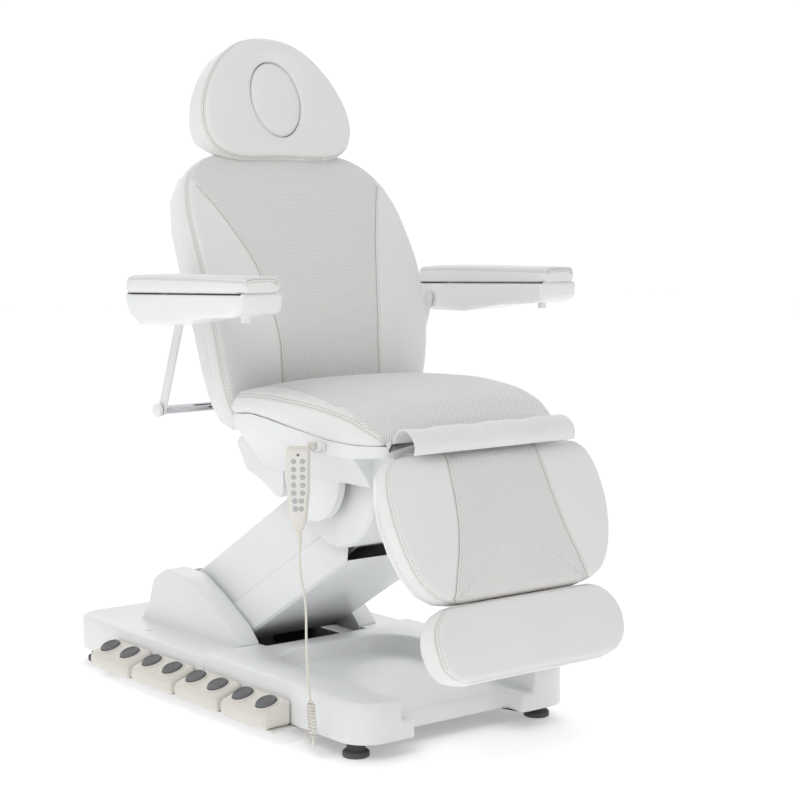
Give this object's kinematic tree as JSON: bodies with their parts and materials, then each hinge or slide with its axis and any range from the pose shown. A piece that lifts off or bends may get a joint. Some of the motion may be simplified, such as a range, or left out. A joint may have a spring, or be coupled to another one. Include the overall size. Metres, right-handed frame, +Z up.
{
  "type": "facial treatment bed",
  "caption": "Electric facial treatment bed with a parallel-arm lift, tilting seat, reclining back, level armrests, head, leg and foot rests, foot control and corded handset.",
  "frame": {"origin": "on the floor under the centre of the whole bed's box, its handset cord left out", "axes": "+Z up, -Y towards the foot end, +X towards the left hand of the person on the bed"},
  "size_m": [0.936, 1.4255, 1.5188],
  "materials": {
    "white_plastic": "smooth white moulding",
    "white_vinyl": "white upholstery vinyl, fine grain",
    "grey_plastic": "warm light grey, fine texture",
    "dark_rubber": "dark grey, textured",
    "black_rubber": "black",
    "dark_steel": "dark grey powder coat",
    "white_steel": "white powder coat",
    "chrome": "polished"
  },
  "bodies": {
    "base": {"base_frame": "dark_steel", "rear_cover": "white_plastic", "front_cover": "white_plastic", "levelling_foot_rear_right": "black_rubber", "levelling_foot_rear_left": "black_rubber", "levelling_foot_front_right": "black_rubber", "levelling_foot_front_left": "black_rubber", "pedal_bracket": "white_steel", "pedal_housing_1": "grey_plastic", "pedal_housing_2": "grey_plastic", "pedal_housing_3": "grey_plastic", "pedal_housing_4": "grey_plastic", "cord_straight": "grey_plastic", "cord_curl": "grey_plastic", "cord_tail": "grey_plastic"},
    "wheel_right": {"transport_wheel_right": "black_rubber"},
    "wheel_left": {"transport_wheel_left": "black_rubber"},
    "button_1": {"pedal_button_1": "dark_rubber"},
    "button_2": {"pedal_button_2": "dark_rubber"},
    "button_3": {"pedal_button_3": "dark_rubber"},
    "button_4": {"pedal_button_4": "dark_rubber"},
    "button_5": {"pedal_button_5": "dark_rubber"},
    "button_6": {"pedal_button_6": "dark_rubber"},
    "button_7": {"pedal_button_7": "dark_rubber"},
    "button_8": {"pedal_button_8": "dark_rubber"},
    "upper_arm": {"upper_link": "dark_steel", "upper_arm_cover": "white_plastic"},
    "lower_arm": {"lower_link": "dark_steel", "lower_arm_cover": "white_plastic"},
    "actuator": {"lift_actuator": "dark_steel"},
    "rod": {"lift_rod": "chrome"},
    "carrier": {"carrier_bracket": "dark_steel", "knuckle_cover": "white_plastic"},
    "seat": {"seat_frame": "dark_steel", "seat_shell": "white_plastic", "seat_cushion": "white_vinyl", "leg_flap": "white_vinyl", "handset_hook": "white_steel"},
    "backrest": {"back_frame": "dark_steel", "back_shell": "white_plastic", "back_cushion": "white_vinyl", "cross_tube": "chrome", "tube_knob_right": "white_plastic", "tube_knob_left": "white_plastic"},
    "post_right": {"arm_post_right": "white_steel"},
    "post_left": {"arm_post_left": "white_steel"},
    "arm_right": {"arm_shell_right": "white_plastic", "arm_pad_right": "white_vinyl"},
    "arm_left": {"arm_shell_left": "white_plastic", "arm_pad_left": "white_vinyl"},
    "head_slide": {"head_posts": "chrome"},
    "head": {"head_plate": "dark_steel", "head_cushion": "white_vinyl"},
    "plug": {"face_plug": "white_vinyl"},
    "legrest": {"leg_shell": "white_plastic", "leg_cushion": "white_vinyl"},
    "footrest": {"foot_rails": "dark_steel", "foot_cushion": "white_vinyl"},
    "handset": {"handset": "grey_plastic"}
  },
  "joints": [
    {"name": "lift", "type": "hinge", "parent": "base", "child": "upper_arm", "pos_m": [0, 0.3401, 0.21098], "axis": [-1, 0, 0], "range_deg": [-13, 11], "deforming": ["cord_straight"]},
    {"name": "lower_arm_swing", "type": "hinge", "parent": "base", "child": "lower_arm", "pos_m": [0, 0.2701, 0.14098], "axis": [-1, 0, 0], "range_deg": [-13, 11]},
    {"name": "carrier_level", "type": "hinge", "parent": "upper_arm", "child": "carrier", "pos_m": [0, -0.1742, 0.52], "axis": [-1, 0, 0], "range_deg": [-11, 13]},
    {"name": "actuator_tilt", "type": "hinge", "parent": "base", "child": "actuator", "pos_m": [0, 0.6108, 0.076], "axis": [-1, 0, 0], "range_deg": [-4, 4]},
    {"name": "actuator_stroke", "type": "slide", "parent": "actuator", "child": "rod", "axis": [0, -0.9671, 0.2545], "range_m": [-0.016, 0.022]},
    {"name": "seat_tilt", "type": "hinge", "parent": "carrier", "child": "seat", "pos_m": [0, -0.1842, 0.562], "axis": [-1, 0, 0], "range_deg": [0, 12]},
    {"name": "backrest_recline", "type": "hinge", "parent": "seat", "child": "backrest", "pos_m": [0, 0.0908, 0.665], "axis": [-1, 0, 0], "range_deg": [0, 70]},
    {"name": "right_post_level", "type": "hinge", "parent": "backrest", "child": "post_right", "pos_m": [-0.352, 0.1858, 0.683], "axis": [-1, 0, 0], "range_deg": [-70, 0]},
    {"name": "left_post_level", "type": "hinge", "parent": "backrest", "child": "post_left", "pos_m": [0.352, 0.1858, 0.683], "axis": [-1, 0, 0], "range_deg": [-70, 0]},
    {"name": "right_armrest_lift", "type": "hinge", "parent": "post_right", "child": "arm_right", "pos_m": [-0.363, 0.0938, 0.92], "axis": [-1, 0, 0], "range_deg": [0, 85]},
    {"name": "left_armrest_lift", "type": "hinge", "parent": "post_left", "child": "arm_left", "pos_m": [0.363, 0.0938, 0.92], "axis": [-1, 0, 0], "range_deg": [0, 85]},
    {"name": "headrest_height", "type": "slide", "parent": "backrest", "child": "head_slide", "axis": [0, 0.3256, 0.9455], "range_m": [0, 0.07]},
    {"name": "headrest_tilt", "type": "hinge", "parent": "head_slide", "child": "head", "pos_m": [0, 0.30741, 1.27258], "axis": [-1, 0, 0], "range_deg": [0, 35]},
    {"name": "face_plug_out", "type": "slide", "parent": "head", "child": "plug", "axis": [0, -0.9573, 0.289], "range_m": [0, 0.1]},
    {"name": "legrest_raise", "type": "hinge", "parent": "seat", "child": "legrest", "pos_m": [0, -0.50016, 0.64511], "axis": [-1, 0, 0], "range_deg": [-10, 69]},
    {"name": "footrest_extend", "type": "slide", "parent": "legrest", "child": "footrest", "axis": [0, -0.3584, -0.9336], "range_m": [0, 0.1]},
    {"name": "handset_lift_off", "type": "slide", "parent": "seat", "child": "handset", "axis": [0, 0, 1], "range_m": [0, 0.05]},
    {"name": "wheel_spin_right", "type": "hinge", "parent": "base", "child": "wheel_right", "pos_m": [-0.205, 0.6858, 0.03], "axis": [-1, 0, 0], "continuous": true},
    {"name": "wheel_spin_left", "type": "hinge", "parent": "base", "child": "wheel_left", "pos_m": [0.205, 0.6858, 0.03], "axis": [-1, 0, 0], "continuous": true},
    {"name": "pedal_press_1", "type": "slide", "parent": "base", "child": "button_1", "axis": [0.342, 0, -0.9397], "range_m": [0, 0.004], "stiffness_N_per_m": 500, "springref_m": -0.002},
    {"name": "pedal_press_2", "type": "slide", "parent": "base", "child": "button_2", "axis": [0.342, 0, -0.9397], "range_m": [0, 0.004], "stiffness_N_per_m": 500, "springref_m": -0.002},
    {"name": "pedal_press_3", "type": "slide", "parent": "base", "child": "button_3", "axis": [0.342, 0, -0.9397], "range_m": [0, 0.004], "stiffness_N_per_m": 500, "springref_m": -0.002},
    {"name": "pedal_press_4", "type": "slide", "parent": "base", "child": "button_4", "axis": [0.342, 0, -0.9397], "range_m": [0, 0.004], "stiffness_N_per_m": 500, "springref_m": -0.002},
    {"name": "pedal_press_5", "type": "slide", "parent": "base", "child": "button_5", "axis": [0.342, 0, -0.9397], "range_m": [0, 0.004], "stiffness_N_per_m": 500, "springref_m": -0.002},
    {"name": "pedal_press_6", "type": "slide", "parent": "base", "child": "button_6", "axis": [0.342, 0, -0.9397], "range_m": [0, 0.004], "stiffness_N_per_m": 500, "springref_m": -0.002},
    {"name": "pedal_press_7", "type": "slide", "parent": "base", "child": "button_7", "axis": [0.342, 0, -0.9397], "range_m": [0, 0.004], "stiffness_N_per_m": 500, "springref_m": -0.002},
    {"name": "pedal_press_8", "type": "slide", "parent": "base", "child": "button_8", "axis": [0.342, 0, -0.9397], "range_m": [0, 0.004], "stiffness_N_per_m": 500, "springref_m": -0.002}
  ],
  "couplings": [
    {"joint": "lower_arm_swing", "follows": "lift", "ratio": 1},
    {"joint": "carrier_level", "follows": "lift", "ratio": -1},
    {"joint": "actuator_tilt", "follows": "lift", "ratio": -0.152},
    {"joint": "actuator_stroke", "follows": "lift", "m_per_rad": 0.063},
    {"joint": "right_post_level", "follows": "backrest_recline", "ratio": -1},
    {"joint": "left_post_level", "follows": "backrest_recline", "ratio": -1}
  ]
}
